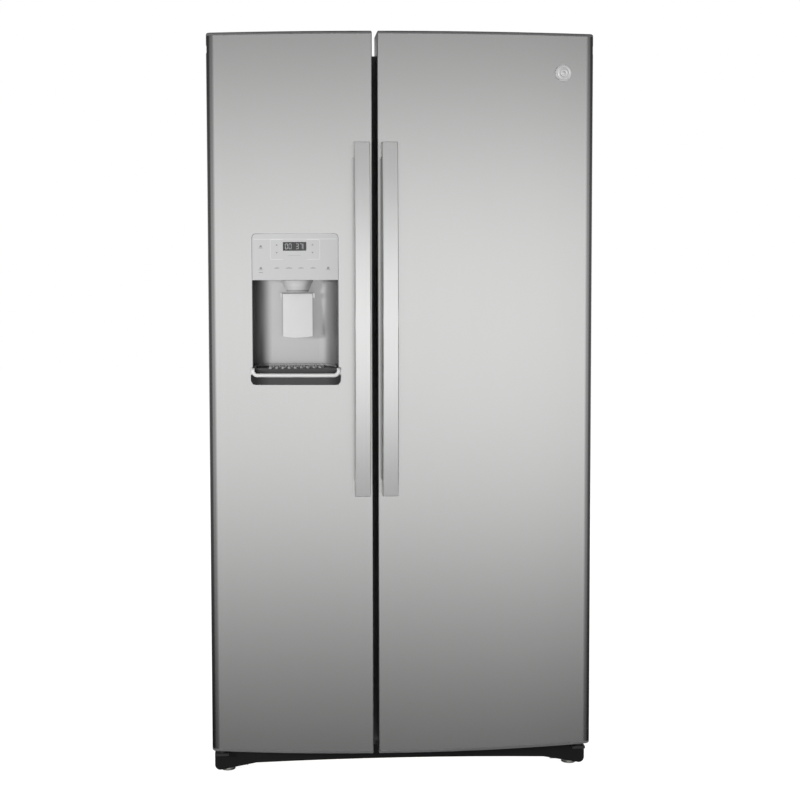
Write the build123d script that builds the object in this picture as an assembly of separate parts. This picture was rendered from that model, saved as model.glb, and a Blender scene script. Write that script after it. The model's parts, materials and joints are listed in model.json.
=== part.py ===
from build123d import *
from math import sqrt
import os

# Side by side refrigerator with an ice and water dispenser in the freezer door.
# X runs to the viewer's right, the doors face -Y, Z is up and the floor is z = 0.
# The origin is the middle of the footprint, and every size is in millimetres.

# Overall size of the appliance
WIDTH = 908
DEPTH = 883
DOOR_TOP = 1768
BACK = DEPTH / 2
HANDLE_FRONT = -DEPTH / 2

# Cabinet
CASE_HALF = 450
CASE_TOP = 1724
CASE_FRONT = HANDLE_FRONT + 167
CASE_BOTTOM = 22
FOAM_BOTTOM = 66
SHEET = 1
LINER = 2

# Food compartments, measured inside their liners
FREEZER_X = (-398, -92)
FRESH_X = (-38, 405)
FLOOR_Z = 112
CEILING_Z = 1684
LINER_BACK = 375
STEP_Y = 165
STEP_Z = 300
MULLION_X = -65

# Machine compartment under the rear of the liners
MACHINE_Y = 205
MACHINE_TOP = 262
PAN_Z = (26, 28)

# Doors: one bow runs across both of them
DOOR_BOTTOM = 73
DOOR_GAP = 12
DOOR_EDGE = 55
DOOR_CORNER_Y = HANDLE_FRONT + 100
DOOR_BACK = DOOR_CORNER_Y + DOOR_EDGE
BOW = 40
BOW_RADIUS = ((WIDTH / 2) ** 2 + BOW ** 2) / (2 * BOW)
BOW_CENTRE = DOOR_CORNER_Y - BOW + BOW_RADIUS
FREEZER_DOOR_X = (-WIDTH / 2, MULLION_X - DOOR_GAP / 2)
FRESH_DOOR_X = (MULLION_X + DOOR_GAP / 2, WIDTH / 2)
SIDE_ROUND = 13
GAP_ROUND = 3
CAP = 7
LIP = 16
DIKE_DEPTH = 50
DIKE_WIDTH = 22
DIKE_Z = (125, 1672)
FREEZER_DIKE_X = (-386, -112)
FRESH_DIKE_X = (-20, 393)

# Gaskets
GASKET_WIDTH = 18
GASKET_Z = (100, 1710)
GASKET_GAP = 0.3
FREEZER_GASKET_X = (-430, -74)
FRESH_GASKET_X = (-56, 430)

# Door hinges
HINGE_X = 432
HINGE_Y = DOOR_BACK - 25
TOP_PIN = 5
BOTTOM_PIN = 6
PIN_PLAY = 0.05
SLOT_Z = (1721, 1740)

# Handles
HANDLE_WIDTH = 36
HANDLE_INSET = 8
HANDLE_Z = (695, 1510)
HANDLE_BOW = 16
HANDLE_THICK = 15
HANDLE_FOOT = 34
HANDLE_ROUND = 1.5

# Ice and water dispenser
DISPENSER_X = (-351, -150)
DISPENSER_Z = (951, 1303)
DISPENSER_BACK = -300
DISPENSER_MID = -244.5
PANEL_Z = 1195
PANEL_ROUND = 10
PANEL_GAP = 1
CAVITY_FLOOR = 984
CAVITY_ROUND = 45
GRILLE_Z = (CAVITY_FLOOR, 989)
TRAY_LIP_TOP = 974
TRAY_PROUD = 12
PADDLE_X = (-279, -210)
PADDLE_Z = (1060, 1158)
PADDLE_Y = -328.5
PADDLE_PIN = 2.5
PADDLE_TOP = 1162
PADDLE_FRONT_Y = (-350, -332)
PADDLE_REAR_Y = -324.5
PADDLE_WALL = 2.5
PADDLE_SAG_RADIUS = 240
CHUTE_FOOT = (DISPENSER_MID, -332, 1200)
CHUTE_HEAD = (DISPENSER_MID, -258, 1345)
CHUTE_RADIUS = 27
BULGE_Y = -262
TOWER_Y = -222

# Shelves and drawers
SHELF_FRONT = -150
SHELF_BACK = 360
FRESH_SHELVES = (640, 900, 1160, 1345)
SHELF_EDGE = 14
GLASS = 4
CRISPER_FLOOR = 274
CRISPER_COVER = 436
FREEZER_RACKS = (480, 760, 1000, 1240)
DRAWER_WALL = 3

# Kick grille's lower edge
GRILLE_LOW = 11
GRILLE_ARCH = 27

# Running gear
ROLLER_X = 385
ROLLER_RADIUS = 20
ROLLER_WIDTH = 16
AXLE = 4
FRONT_ROLLER_Y = -240
REAR_ROLLER_Y = 380
FRONT_ROLLER_LIFT = 2
LEG_X = 420
LEG_Y = -255
STUD = 5
GRILLE_FRONT = DOOR_CORNER_Y + 45


def middle(span):
    """The middle of a (low, high) pair."""
    return (span[0] + span[1]) / 2


def grown(span, by):
    """A (low, high) pair made wider at both ends."""
    return (span[0] - by, span[1] + by)


def block(x, y, z):
    """A box between (low, high) pairs along X, Y and Z."""
    centre = Pos(middle(x), middle(y), middle(z))
    return centre * Box(x[1] - x[0], y[1] - y[0], z[1] - z[0])


def rod_x(x, y, z, radius):
    """A cylinder along X, where x is a (low, high) pair."""
    return Pos(middle(x), y, z) * Rot(0, 90, 0) * Cylinder(radius, x[1] - x[0])


def rod_y(x, y, z, radius):
    """A cylinder along Y, where y is a (low, high) pair."""
    return Pos(x, middle(y), z) * Rot(90, 0, 0) * Cylinder(radius, y[1] - y[0])


def rod_z(x, y, z, radius):
    """A cylinder along Z, where z is a (low, high) pair."""
    return Pos(x, y, middle(z)) * Cylinder(radius, z[1] - z[0])


def tray(x, y, z, wall, floor):
    """An open-topped box with the given outside."""
    return block(x, y, z) - block(grown(x, -wall), grown(y, -wall), (z[0] + floor, z[1] + 1))


def ring(x, z, y, width):
    """A flat rectangular frame in the XZ plane, whose outside is x by z."""
    return block(x, y, z) - block(grown(x, -width), grown(y, 1), grown(z, -width))


def tube(points, bend, radius):
    """A round bar along straight runs joined by arcs."""
    path = FilletPolyline(*points, radius=bend)
    return sweep(Plane(path @ 0, z_dir=path % 0) * Circle(radius), path=path)


def save(node, *shapes):
    """Writes one node's STEP file from its solids."""
    solids = [solid for shape in shapes for solid in shape.solids()]
    export_step(solids[0] if len(solids) == 1 else Compound(solids), f"parts/{node}.step")


def front_y(x, proud=0.0):
    """The y of the doors' bowed front at x, or of a surface proud of it."""
    return BOW_CENTRE - sqrt((BOW_RADIUS + proud) ** 2 - x ** 2)


def bowed(proud, z):
    """Everything behind a surface that stands proud of the bowed front."""
    return rod_z(0, BOW_CENTRE, z, BOW_RADIUS + proud)


# ---------------------------------------------------------------- cabinet

def cavity(x, grow):
    """A food compartment's hollow, with a step over the machine compartment."""
    low = FLOOR_Z - grow
    mouth = CASE_FRONT - 5
    deep = block(grown(x, grow), (mouth, LINER_BACK + grow), (STEP_Z - grow, CEILING_Z + grow))
    foot = block(grown(x, grow), (mouth, STEP_Y + grow), (low, STEP_Z))
    return deep + foot


def outer_case():
    """Folded steel sides, top and front flange."""
    outside = block((-CASE_HALF, CASE_HALF), (CASE_FRONT, BACK - SHEET), (CASE_BOTTOM, CASE_TOP))
    hollow = block(grown((-CASE_HALF, CASE_HALF), -SHEET), (CASE_FRONT + SHEET, BACK), (0, CASE_TOP - SHEET))
    below_flange = block(grown((-CASE_HALF, CASE_HALF), -SHEET), (CASE_FRONT - 1, CASE_FRONT + 2), (0, FOAM_BOTTOM))
    case = outside - hollow - below_flange
    return case - cavity(FREEZER_X, 0) - cavity(FRESH_X, 0) - hinge_screw_shanks()


def back_panel():
    """Flat steel back above the machine compartment."""
    return block((-CASE_HALF, CASE_HALF), (BACK - SHEET, BACK), (MACHINE_TOP, CASE_TOP))


def cabinet_foam():
    """Insulation between the case and the two liners."""
    inside = grown((-CASE_HALF, CASE_HALF), -SHEET)
    foam = block(inside, (CASE_FRONT + SHEET, BACK - SHEET), (FOAM_BOTTOM, CASE_TOP - SHEET))
    foam -= block(grown(inside, 1), (MACHINE_Y, BACK), (0, MACHINE_TOP))
    return foam - cavity(FREEZER_X, LINER) - cavity(FRESH_X, LINER) - hinge_screw_shanks()


def liner(x):
    """A vacuum-formed compartment liner, open to the front."""
    shell = cavity(x, LINER) - cavity(x, 0)
    behind_flange = (CASE_FRONT + SHEET, BACK)
    return shell & block((-CASE_HALF, CASE_HALF), behind_flange, (0, CASE_TOP))


def chassis():
    """Base rails, front cross member and the pan that carries the machinery."""
    plate = 2.5
    wide = (-CASE_HALF + 3, CASE_HALF - 3)
    base = block(wide, (LEG_Y - 16, LEG_Y + 40), (46, 46 + plate))
    base += block(wide, (LEG_Y - 16, LEG_Y - 16 + plate), (30, 65))
    base += block(wide, (MACHINE_Y - 5, BACK - 3), PAN_Z)
    axles = []
    for side in (-1, 1):
        for near, far in ((371, 373.5), (396.5, 399)):
            rail_x = tuple(sorted((side * near, side * far)))
            base += block(rail_x, (LEG_Y - 16, BACK - 6), (12, 65))
        wall_x = tuple(sorted((side * (CASE_HALF - SHEET - plate), side * (CASE_HALF - SHEET))))
        base += block(wall_x, (LEG_Y - 16, BACK - 6), (24, 65))
        base += block(wall_x, (MACHINE_Y, BACK - 6), (24, MACHINE_TOP))
        hub = tuple(sorted((side * 371, side * 399)))
        axles.append(rod_x(hub, FRONT_ROLLER_Y, ROLLER_RADIUS + FRONT_ROLLER_LIFT, AXLE))
        axles.append(rod_x(hub, REAR_ROLLER_Y, ROLLER_RADIUS, AXLE))
    for side in (-1, 1):
        base -= rod_z(side * LEG_X, LEG_Y, (40, 60), STUD + PIN_PLAY)
        for y in (FRONT_ROLLER_Y, REAR_ROLLER_Y):
            well = tuple(sorted((side * 373.5, side * 396.5)))
            base -= block(well, (y - 26, y + 26), (0, 62))
    for axle in axles:
        base += axle
    return base


def base_grille():
    """Black kick grille with an arched lower edge and sloping ends."""
    arch = ThreePointArc((-350, GRILLE_ARCH), (0, GRILLE_ARCH + 5), (350, GRILLE_ARCH))
    ends = Polyline((350, GRILLE_ARCH), (437, GRILLE_LOW)) + Polyline((-437, GRILLE_LOW), (-350, GRILLE_ARCH))
    for side in (-1, 1):
        ends += ThreePointArc((side * 437, GRILLE_LOW), (side * 446.5, 15), (side * CASE_HALF, 24))
    ends += Polyline((CASE_HALF, 24), (CASE_HALF, 66), (-CASE_HALF, 66), (-CASE_HALF, 24))
    face = make_face(Plane.XZ * (arch + ends))
    grille = Pos(0, GRILLE_FRONT + 3, 0) * extrude(face, 3)
    for side in (-1, 1):
        notch = tuple(sorted((side * 412, side * 452)))
        grille -= block(notch, (GRILLE_FRONT - 5, GRILLE_FRONT + 8), (52, 70))
        end_wall = tuple(sorted((side * (CASE_HALF - 3), side * CASE_HALF)))
        grille += block(end_wall, (GRILLE_FRONT, CASE_FRONT - 1), (24, 52))
    return grille


def top_hinge(side):
    """Flat arm on the case top with a pin that drops into the door."""
    plate_x = tuple(sorted((side * 396, side * 444)))
    arm_x = grown((side * HINGE_X, side * HINGE_X), 10)
    level = (CASE_TOP, CASE_TOP + 4)
    arm = block(plate_x, (-264, -190), level) + block(arm_x, (HINGE_Y, -260), level)
    arm += rod_z(side * HINGE_X, HINGE_Y, level, 10)
    arm += rod_z(side * HINGE_X, HINGE_Y, (CASE_TOP - 28, CASE_TOP + 1), TOP_PIN)
    return arm - hinge_screw_shanks()


def bottom_hinge(side):
    """Angle bracket on the front cross member with an upright pin."""
    foot_x = tuple(sorted((side * 410, side * 446)))
    arm_x = tuple(sorted((side * 416, side * 446)))
    chassis_face = LEG_Y - 16
    bracket = block(foot_x, (chassis_face - 4, chassis_face), (32, 61))
    bracket += block(arm_x, (HINGE_Y - 14, chassis_face), (55, 61))
    bracket += rod_z(side * HINGE_X, HINGE_Y, (60, 94), BOTTOM_PIN)
    return bracket + rod_z(side * HINGE_X, HINGE_Y, (60, DOOR_BOTTOM - 0.5), 11)


def hinge_screw_places():
    """Where the hinge screws stand on the case top."""
    return [(side * x, y) for side in (-1, 1) for x, y in ((406, -250), (406, -204), (434, -204))]


def hinge_screw_shanks():
    """The threaded part of all the top hinge screws."""
    shanks = [rod_z(x, y, (CASE_TOP - 12, CASE_TOP + 4), 2.5) for x, y in hinge_screw_places()]
    return Compound(shanks)


def hinge_screws():
    """Hexagon-headed screws for both top hinges."""
    heads = []
    for x, y in hinge_screw_places():
        head = extrude(Plane((x, y, CASE_TOP + 4)) * RegularPolygon(5.5, 6), 4)
        heads.append(head + rod_z(x, y, (CASE_TOP - 12, CASE_TOP + 4.5), 2.5))
    return heads


def hinge_cover(side):
    """Plastic cap over a top hinge."""
    x = tuple(sorted((side * 386, side * 449)))
    y = (-271, -182)
    z = (CASE_TOP, CASE_TOP + 36)
    cover = block(x, y, z)
    cover = fillet(cover.edges().group_by(Axis.Z)[-1], 5)
    cover -= block(grown(x, -2), grown(y, -2), (z[0] - 1, z[1] - 2))
    arm_x = grown((side * HINGE_X, side * HINGE_X), 11)
    return cover - block(arm_x, (-275, -266), (z[0] - 1, z[0] + 5))


def fresh_shelf_frames():
    """Plastic shelf rims, the crisper floor and the crisper cover rim."""
    frames = []
    x = grown(FRESH_X, -0.5)
    y = (SHELF_FRONT, SHELF_BACK)
    for z in FRESH_SHELVES + (CRISPER_COVER,):
        rim = block(x, y, (z, z + SHELF_EDGE))
        rim -= block(grown(x, -18), grown(y, -18), (z - 1, z + SHELF_EDGE + 1))
        rim -= block(grown(x, -12), grown(y, -12), (z + 8, z + 8 + GLASS))
        if z == FRESH_SHELVES[0]:
            for left in (-30, 214):
                rim += block((left, left + 4), (SHELF_FRONT + 5, 250), (z - 38, z + 1))
            rim += block((-30, -20), (SHELF_FRONT + 5, 250), (z - 41, z - 38))
            rim += block((208, 218), (SHELF_FRONT + 5, 250), (z - 41, z - 38))
            rim += block((-34, 222), (150, 175), (z, z + 6))
        frames.append(rim)
    frames.append(block(x, (SHELF_FRONT, STEP_Y - 5), (CRISPER_FLOOR, CRISPER_FLOOR + 6)))
    return frames


def fresh_shelf_glass():
    """Tempered panes held in the shelf rims."""
    x = grown(FRESH_X, -12.5)
    y = (SHELF_FRONT + 12, SHELF_BACK - 12)
    return [block(x, y, (z + 8, z + 8 + GLASS)) for z in FRESH_SHELVES + (CRISPER_COVER,)]


def freezer_rack(z):
    """A coated wire shelf."""
    x = grown(FREEZER_X, -4)
    y = (SHELF_FRONT, 296)
    rack = Part()
    for bar_y in (y[0] + 6, middle(y), y[1] - 6):
        rack += rod_x(grown(x, -2), bar_y, z, 4)
    for bar_x in (x[0] + 3, x[1] - 3):
        rack += rod_y(bar_x, y, z, 3)
    pitch = (x[1] - x[0] - 6) / 12
    for n in range(1, 12):
        rack += rod_y(x[0] + 3 + n * pitch, grown(y, -1), z + 3.5, 2)
    return rack


def evaporator_cover():
    """Panel before the cooling coil, with its air slots, fan mouth and fan motor."""
    x = grown(FREEZER_X, -1)
    panel = block(x, (300, 303), (690, 1220))
    mid = middle(FREEZER_X)
    panel -= rod_y(mid, (290, 310), 1120, 56)
    for z in range(720, 800, 16):
        panel -= block(grown(x, -40), (290, 310), (z, z + 7))
    for z in range(1068, 1180, 13):
        panel += block((mid - 58, mid + 58), (300, 303), (z, z + 4))
    panel += block((mid - 70, mid - 62), (303, LINER_BACK), (1040, 1200))
    panel += block((mid + 62, mid + 70), (303, LINER_BACK), (1040, 1200))
    panel += block((mid - 66, mid + 66), (352, 356), (1108, 1132))
    panel += rod_y(mid, (345, 372), 1120, 22)
    return panel + rod_y(mid, (318, 350), 1120, 3)


def fan(radius, depth, blades, bore):
    """A fan wheel on its own axis along Y: a hub and pitched blades."""
    wheel = rod_y(0, (-depth / 2, depth / 2), 0, radius * 0.3)
    for n in range(blades):
        blade = Pos(radius * 0.6, 0, 0) * Rot(30, 0, 0) * Box(radius * 0.8, depth, 2)
        wheel += Rot(0, n * 360 / blades, 0) * blade
    wheel &= rod_y(0, (-depth, depth), 0, radius)
    return wheel - rod_y(0, (-depth, depth), 0, bore)


def evaporator_fan():
    """Fan that blows the cold air into the freezer."""
    return Pos(middle(FREEZER_X), 326, 1120) * fan(50, 20, 5, 3 + PIN_PLAY)


def evaporator_coil():
    """Finned aluminium cooling coil."""
    left = FREEZER_X[0] + 24
    right = FREEZER_X[1] - 24
    points = []
    for n, z in enumerate(range(700, 1000, 50)):
        ends = (left, right) if n % 2 == 0 else (right, left)
        points += [(end, 340, z) for end in ends]
    coil = tube(points, 20, 4)
    fins = [block((x, x + 1), (318, 362), (690, 960)) for x in range(-340, -150, 14)]
    for fin in fins:
        coil += fin
    return coil


def ice_maker():
    """Ice maker with its mould and control end, under the freezer ceiling."""
    body = block((-380, -190), (-40, 250), (1612, 1682))
    body -= block((-372, -232), (-30, 240), (1640, 1690))
    return body + block((-330, -270), (-60, -40), (1622, 1672))


def ice_bucket():
    """Ice bin with an outlet nose over the door's chute."""
    bucket = tray((-392, -104), (-140, 285), (1352, 1580), DRAWER_WALL, 4)
    nose = block((-290, -199), (-212, -137), (1352, 1440))
    nose -= block((-287, -202), (-209, -140), (1340, 1437))
    bucket += nose
    bucket -= block((-287, -202), (-145, -130), (1356, 1437))
    return bucket - rod_y(DISPENSER_MID, (275, 295), 1392, 5 + PIN_PLAY)


def ice_auger():
    """Shaft with tilted flights that carries the ice to the nose."""
    auger = rod_y(DISPENSER_MID, (-136, 292), 1392, 5)
    for n in range(8):
        flight = Rot(72, 0, 0) * Cylinder(26, 3)
        auger += Pos(DISPENSER_MID, -115 + n * 46, 1392) * flight
    return auger


def light_lenses():
    """Lenses over the interior lamps."""
    fresh = block((110, 260), (-70, 50), (CEILING_Z - 14, CEILING_Z - 0.5))
    freezer = block((-175, -110), (-125, -75), (CEILING_Z - 12, CEILING_Z - 0.5))
    return [fillet(lens.edges().group_by(Axis.Z)[0], 5) for lens in (fresh, freezer)]


def compressor():
    """Sealed compressor on its four feet."""
    x, y = -270, 322
    shell = rod_z(x, y, (52, 200), 82)
    shell = fillet(shell.edges().filter_by(GeomType.CIRCLE), 30)
    for side in (-1, 1):
        for end in (-1, 1):
            shell += rod_z(x + side * 72, y + end * 60, (PAN_Z[1], 56), 12)
        shell += block((x - 84, x + 84), (y + side * 60 - 12, y + side * 60 + 12), (52, 58))
    return shell


def condenser_coil():
    """Stacked tube condenser."""
    coils = []
    for y in (230, 262, 294):
        points = []
        for n, z in enumerate(range(50, 230, 28)):
            ends = (60, 290) if n % 2 == 0 else (290, 60)
            points += [(end, y, z) for end in ends]
        coils.append(tube(points, 12, 3))
    return coils


def fan_shroud():
    """Panel between compressor and condenser with the fan opening and motor."""
    shroud = block((-60, -57), (210, 430), (PAN_Z[1], 250))
    shroud -= rod_x((-70, -50), 320, 140, 84)
    for z in (120, 154):
        shroud += block((-60, -57), (230, 410), (z, z + 6))
    shroud += rod_x((-90, -60), 320, 140, 24)
    shroud += block((-60, -57), (300, 340), (120, 160))
    return shroud + rod_x((-62, -24), 320, 140, 3)


def condenser_fan():
    """Fan that draws air through the condenser, turning about X."""
    return Pos(-36, 320, 140) * Rot(0, 0, 90) * fan(78, 22, 4, 3 + PIN_PLAY)


def rear_cover():
    """Slotted cover over the machine compartment."""
    cover = block((-CASE_HALF + 4, CASE_HALF - 4), (436, 438), (30, MACHINE_TOP - 2))
    for z in range(70, 220, 18):
        for x in range(-380, 300, 60):
            cover -= block((x, x + 44), (430, 440), (z, z + 7))
    cover -= rod_y(380, (430, 440), 200, 16)
    return cover - rod_y(380, (430, 440), 90, 8)


def water_valve():
    """Inlet valve for the ice maker, with its threaded stub."""
    valve = block((350, 410), (385, 426), (172, 228))
    valve += rod_y(380, (425, 440.5), 200, 5.5)
    valve += rod_z(365, 405, (228, 250), 12)
    return valve + rod_z(393, 405, (228, 250), 12)


def cord_gland():
    """Bush where the supply cord leaves the rear cover."""
    gland = rod_y(380, (428, 440.5), 90, 8)
    gland += rod_y(380, (438, 440.5), 90, 11)
    gland += rod_y(380, (430, 436), 90, 11)
    return gland - rod_y(380, (420, 445), 90, 4.5)


def roller(side, y, lift):
    """A wheel that turns on its fixed axle."""
    x = grown((side * ROLLER_X, side * ROLLER_X), ROLLER_WIDTH / 2)
    wheel = rod_x(x, y, ROLLER_RADIUS + lift, ROLLER_RADIUS)
    wheel = fillet(wheel.edges().filter_by(GeomType.CIRCLE), 2)
    return wheel - rod_x(grown(x, 2), y, ROLLER_RADIUS + lift, AXLE + PIN_PLAY)


def levelling_leg(side):
    """Threaded stud with a round foot."""
    leg = rod_z(side * LEG_X, LEG_Y, (0, 8), 18)
    leg = fillet(leg.edges().group_by(Axis.Z)[-1], 3)
    leg += extrude(Plane((side * LEG_X, LEG_Y, 7)) * RegularPolygon(11, 6), 9)
    return leg + rod_z(side * LEG_X, LEG_Y, (15, 62), STUD)


# ---------------------------------------------------------------- drawers

def drawer(x, y, z):
    """A clear plastic drawer with a hooded front grip."""
    box = tray(x, y, z, DRAWER_WALL, DRAWER_WALL)
    grip = block((x[0] + 40, x[1] - 40), (y[0] - 14, y[0] + 1), (z[1] - 22, z[1] - 4))
    grip -= block((x[0] + 43, x[1] - 43), (y[0] - 11, y[0]), (z[1] - 30, z[1] - 8))
    return box + grip


def crisper_lower():
    """Lower crisper drawer on the liner's floor."""
    return drawer((-30, 376), (SHELF_FRONT + 16, 150), (FLOOR_Z + 1, 266))


def crisper_upper():
    """Upper crisper drawer on the crisper floor."""
    return drawer((-30, 376), (SHELF_FRONT + 16, 155), (CRISPER_FLOOR + 7, 430))


def snack_drawer():
    """Shallow drawer hung on rails under the lowest shelf."""
    shelf = FRESH_SHELVES[0]
    body = drawer((-18, 206), (SHELF_FRONT + 16, 240), (shelf - 110, shelf - 36))
    for lip in ((-25, -18), (206, 213)):
        body += block(lip, (SHELF_FRONT + 20, 240), (shelf - 37.5, shelf - 35))
    return body


def freezer_basket():
    """Slotted basket on the freezer floor."""
    x, y, z = (-380, -100), (SHELF_FRONT + 16, 150), (FLOOR_Z + 1, 320)
    basket = drawer(x, y, z)
    for slot_x in range(-356, -120, 24):
        basket -= block((slot_x, slot_x + 10), (y[0] - 1, y[0] + DRAWER_WALL + 1), (z[0] + 30, z[1] - 60))
    for slot_y in range(-100, 120, 24):
        basket -= block((x[0] - 1, x[1] + 1), (slot_y, slot_y + 10), (z[0] + 30, z[1] - 60))
    return basket


# ------------------------------------------------------------------ doors

def door_plan(x, hinge_side, inset):
    """A door's outline from above, shrunk by inset, with its front corners rounded."""
    left, right = grown(x, -inset)
    back = DOOR_BACK - inset
    start, finish = (left, front_y(left, -inset)), (right, front_y(right, -inset))
    centre = middle((left, right))
    sides = Polyline(start, (left, back), (right, back), finish)
    plan = make_face(sides + ThreePointArc(finish, (centre, front_y(centre, -inset)), start))
    rounds = (SIDE_ROUND, GAP_ROUND) if hinge_side < 0 else (GAP_ROUND, SIDE_ROUND)
    for corner, radius in zip((start, finish), rounds):
        plan = fillet(plan.vertices().sort_by_distance((*corner, 0))[0], radius - inset)
    return plan


def raised(plan, z):
    """A plan extruded between two heights."""
    return extrude(Pos(0, 0, z[0]) * plan, z[1] - z[0])


def hinge_slot(side):
    """Room in the door for the top hinge's arm over the whole swing."""
    edge = side * (WIDTH / 2 + 5)
    inner = side * (HINGE_X - 14)
    return block(tuple(sorted((edge, inner))), (HINGE_Y - 25, DOOR_BACK + 5), SLOT_Z)


def pin_bores(side):
    """Bushings for the top and bottom hinge pins."""
    top = rod_z(side * HINGE_X, HINGE_Y, (SLOT_Z[0] - 27, SLOT_Z[0] + 1), TOP_PIN + PIN_PLAY)
    bottom = rod_z(side * HINGE_X, HINGE_Y, (DOOR_BOTTOM - 1, 96), BOTTOM_PIN + PIN_PLAY)
    return Compound([top, bottom])


def door_skin(x, side):
    """Folded stainless steel wrapper with narrow returns at the back."""
    z = (DOOR_BOTTOM + CAP, DOOR_TOP - CAP)
    skin = raised(door_plan(x, side, 0), z) - raised(door_plan(x, side, SHEET), grown(z, 1))
    opening = block(grown(x, -LIP), (DOOR_BACK - 5, DOOR_BACK + 5), grown(z, -LIP))
    return skin - opening - hinge_slot(side)


def door_caps(x, side):
    """Plastic end caps at the top and bottom of a door."""
    plan = door_plan(x, side, 0)
    top = raised(plan, (DOOR_TOP - CAP, DOOR_TOP))
    top = fillet(top.edges().group_by(Axis.Z)[-1], 4)
    bottom = raised(plan, (DOOR_BOTTOM, DOOR_BOTTOM + CAP))
    bottom = fillet(bottom.edges().group_by(Axis.Z)[0], 4)
    return [top, bottom - pin_bores(side)]


def dikes(x, shrink):
    """The raised rim on a door's inner side, or the foam inside it."""
    y = (DOOR_BACK - LINER, DOOR_BACK + DIKE_DEPTH - shrink)
    outer_x, outer_z = grown(x, -shrink), grown(DIKE_Z, -shrink)
    return ring(outer_x, outer_z, y, DIKE_WIDTH - 2 * shrink)


def chute_bore(radius):
    """The slanting path of the ice from the door's inner side to the paddle."""
    foot, head = Vector(*CHUTE_FOOT), Vector(*CHUTE_HEAD)
    run = head - foot
    start = Plane(foot - run * 0.2, z_dir=run)
    return extrude(start * Circle(radius), run.length * 1.4)


def dispenser_bulge(shrink):
    """The door liner's swelling behind the dispenser, or the foam inside it."""
    front = DOOR_BACK - LINER
    low = block(grown((-362, -136), -shrink), (front, BULGE_Y - shrink), grown((935, 1320), -shrink))
    tower = block(grown((-292, -197), -shrink), (front, TOWER_Y - shrink), grown((1180, 1345), -shrink))
    return low + tower


def liner_recess(x):
    """Where the inner liner's flat plate lies in the door's back."""
    z = grown((DOOR_BOTTOM + CAP, DOOR_TOP - CAP), -LIP)
    return block(grown(x, -LIP), (DOOR_BACK - LINER, DOOR_BACK), z)


def round_topped(x, y, z, radius):
    """A box whose two upper corners are rounded as seen from the front."""
    solid = block(x, y, z)
    return fillet(solid.edges().filter_by(Axis.Y).group_by(Axis.Z)[-1], radius)


def dispenser_pocket():
    """The hole in the freezer door that takes the dispenser housing."""
    return round_topped(DISPENSER_X, (HANDLE_FRONT, DISPENSER_BACK), DISPENSER_Z, PANEL_ROUND)


def freezer_door_skin():
    return door_skin(FREEZER_DOOR_X, -1) - dispenser_pocket()


def door_core(x, side, swelling):
    """Foam that fills a door and the swellings of its liner."""
    z = (DOOR_BOTTOM + CAP, DOOR_TOP - CAP)
    core = raised(door_plan(x, side, SHEET), z) - liner_recess(x)
    return core + swelling - hinge_slot(side) - pin_bores(side)


def freezer_door_core():
    swelling = dikes(FREEZER_DIKE_X, LINER) + dispenser_bulge(LINER)
    core = door_core(FREEZER_DOOR_X, -1, swelling)
    return core - dispenser_pocket() - chute_bore(CHUTE_RADIUS)


def fresh_door_core():
    return door_core(FRESH_DOOR_X, 1, dikes(FRESH_DIKE_X, LINER))


def freezer_door_liner():
    """Inner liner of the freezer door with its rim and dispenser swelling."""
    sheet = liner_recess(FREEZER_DOOR_X) + dikes(FREEZER_DIKE_X, 0) + dispenser_bulge(0)
    sheet -= dikes(FREEZER_DIKE_X, LINER) + dispenser_bulge(LINER)
    return sheet - chute_bore(CHUTE_RADIUS) - hinge_slot(-1)


def fresh_door_liner():
    """Inner liner of the fresh food door with its rim."""
    sheet = liner_recess(FRESH_DOOR_X) + dikes(FRESH_DIKE_X, 0)
    return sheet - dikes(FRESH_DIKE_X, LINER) - hinge_slot(1)


def gasket(x):
    """Magnetic seal around a door."""
    return ring(x, GASKET_Z, (DOOR_BACK, CASE_FRONT - GASKET_GAP), GASKET_WIDTH)


def handle(x):
    """Bowed bar with a foot at each end, standing off the door."""
    low, high = HANDLE_Z
    mid = middle(HANDLE_Z)
    tip = HANDLE_FRONT + HANDLE_BOW
    seat = front_y(middle(x)) + 4
    inner_tip = tip + HANDLE_THICK
    outside = ThreePointArc((tip, low), (HANDLE_FRONT, mid), (tip, high))
    inside = ThreePointArc((inner_tip, high - HANDLE_FOOT), (HANDLE_FRONT + HANDLE_THICK, mid),
                           (inner_tip, low + HANDLE_FOOT))
    top = Polyline((tip, high), (seat, high), (seat, high - HANDLE_FOOT), (inner_tip, high - HANDLE_FOOT))
    foot = Polyline((inner_tip, low + HANDLE_FOOT), (seat, low + HANDLE_FOOT), (seat, low), (tip, low))
    side_view = make_face(Plane.YZ * (outside + top + inside + foot))
    bar = Pos(x[0], 0, 0) * extrude(side_view, x[1] - x[0], dir=(1, 0, 0))
    front_edges = bar.edges().filter_by(lambda e: e.center().Y < tip + 1)
    bar = fillet(front_edges, HANDLE_ROUND)
    return bar - bowed(0, grown(HANDLE_Z, 10))


def bin_tray(x, y, z):
    """A door bin with a raised front rail."""
    return tray(x, y, z, DRAWER_WALL, DRAWER_WALL)


def fresh_door_bins():
    """Door bins and the body of the dairy bin."""
    x = (FRESH_DIKE_X[0] + DIKE_WIDTH, FRESH_DIKE_X[1] - DIKE_WIDTH)
    bins = [bin_tray(x, (DOOR_BACK + 0.5, -178), (z, z + 105)) for z in (150, 440, 720, 1000)]
    bins.append(bin_tray(x, (DOOR_BACK + 0.5, -196), (1385, 1500)))
    return bins


def freezer_door_bins():
    """Bins below and above the dispenser's swelling."""
    x = (FREEZER_DIKE_X[0] + DIKE_WIDTH, FREEZER_DIKE_X[1] - DIKE_WIDTH)
    bins = [bin_tray(x, (DOOR_BACK + 0.5, -190), (z, z + 95)) for z in (150, 420, 690)]
    bins.append(bin_tray(x, (DOOR_BACK + 0.5, -215), (1500, 1580)))
    return bins


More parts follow.
